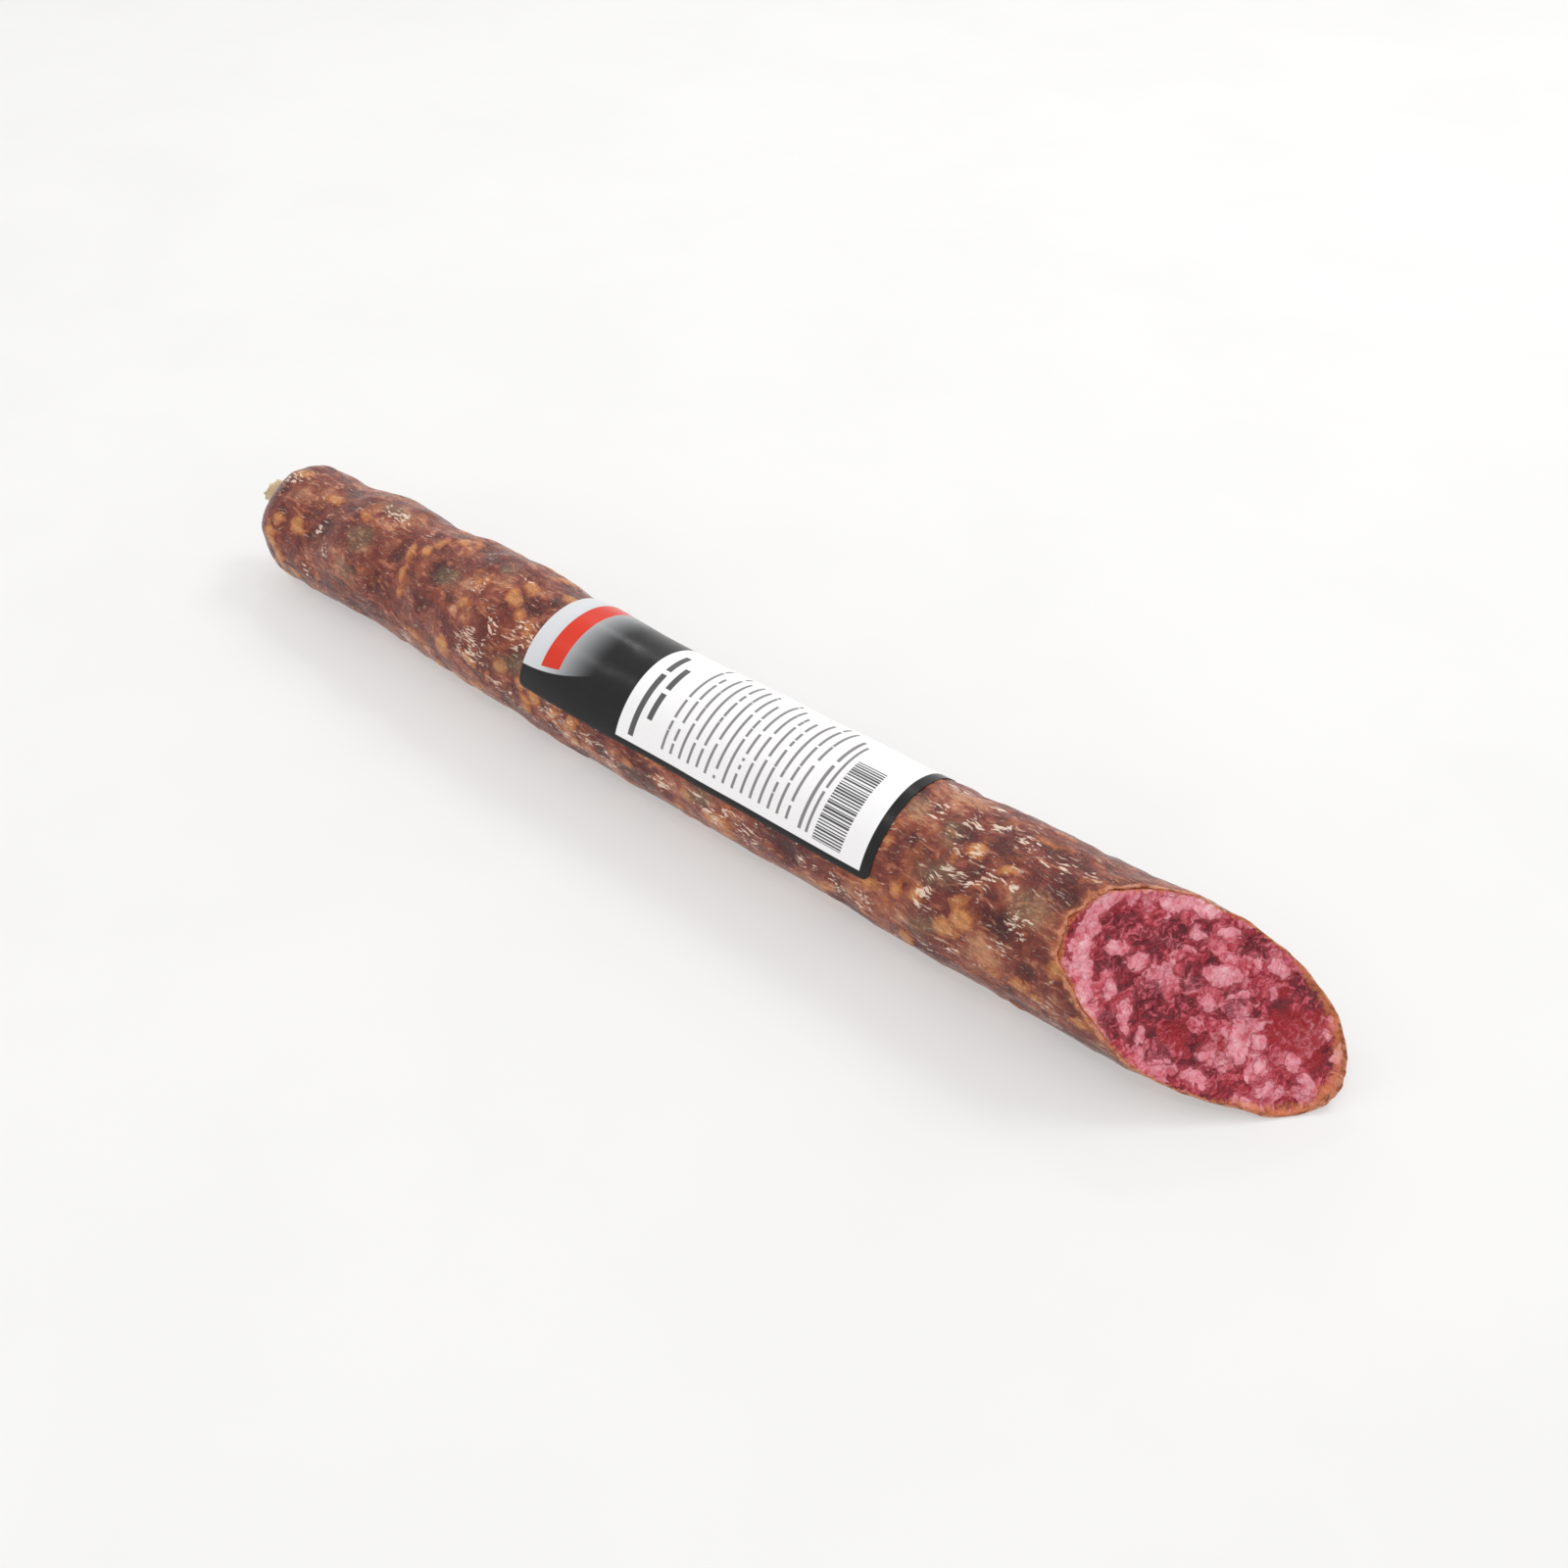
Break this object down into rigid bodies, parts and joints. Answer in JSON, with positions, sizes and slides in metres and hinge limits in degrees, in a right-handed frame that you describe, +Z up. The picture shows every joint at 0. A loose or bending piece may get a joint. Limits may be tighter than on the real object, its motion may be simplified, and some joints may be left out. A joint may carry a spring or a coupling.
{
  "type": "cured sausage",
  "caption": "Dry-cured pork sausage in a gut casing, slanting cut at one end, tied tail at the other, blank label wrapped over the top.",
  "frame": {"origin": "on the surface that the sausage rests on, under the middle of its box", "axes": "+X along the sausage towards its cut end, +Z up, +Y towards the back of the label"},
  "size_m": [0.3639, 0.0437, 0.0415],
  "materials": {
    "meat": "moist cut meat with pale fat",
    "casing": "glossy dried gut skin with pale bloom",
    "twine": "matt natural twine",
    "label": "satin coated paper"
  },
  "bodies": {
    "root": {"meat": "meat", "casing": "casing", "tie_twine": "twine", "label": "label"}
  },
  "joints": []
}
